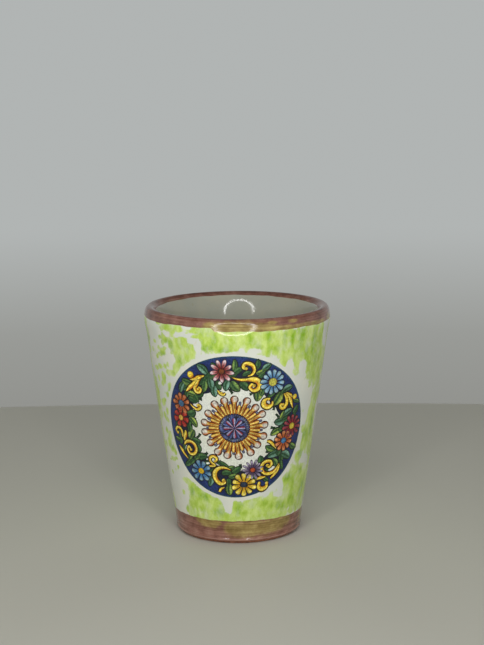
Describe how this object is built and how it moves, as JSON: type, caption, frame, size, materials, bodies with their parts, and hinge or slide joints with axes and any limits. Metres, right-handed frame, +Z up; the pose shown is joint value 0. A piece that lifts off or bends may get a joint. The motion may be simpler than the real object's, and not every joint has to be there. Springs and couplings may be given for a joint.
{
  "type": "ceramic shot cup",
  "caption": "Tapered glazed ceramic shot cup with a round lip, mauve rim and foot bands, a brushed green wash and a printed floral medallion.",
  "frame": {"origin": "centre of the foot ring's contact circle, on the table", "axes": "+Z up along the cup's axis; the medallion faces -Y; +X is to its right as it is looked at"},
  "size_m": [0.0488, 0.0488, 0.06],
  "materials": {
    "clay": "bare fired earthenware, matt",
    "white_glaze": "glossy off-white tin glaze",
    "mauve_glaze": "glossy brushed mauve",
    "green_wash": "glossy brushed yellow-green",
    "cobalt_ink": "glossy cobalt blue print",
    "cream_ink": "glossy cream print",
    "leaf_ink": "glossy leaf green print",
    "yellow_ink": "glossy yellow print",
    "flower_ink": "glossy red, blue and orange print",
    "gold_ink": "glossy golden orange print",
    "disc_ink": "glossy blue print"
  },
  "bodies": {
    "root": {"clay_body": "clay", "inner_glaze": "white_glaze", "outer_glaze": "white_glaze", "rim_band": "mauve_glaze", "foot_band": "mauve_glaze", "base_glaze": "white_glaze", "green_wash": "green_wash", "medallion_ground": "cobalt_ink", "medallion_field": "cream_ink", "medallion_leaves": "leaf_ink", "medallion_scrolls": "yellow_ink", "medallion_flowers": "flower_ink", "medallion_rosette": "gold_ink", "medallion_disc": "disc_ink"}
  },
  "joints": []
}
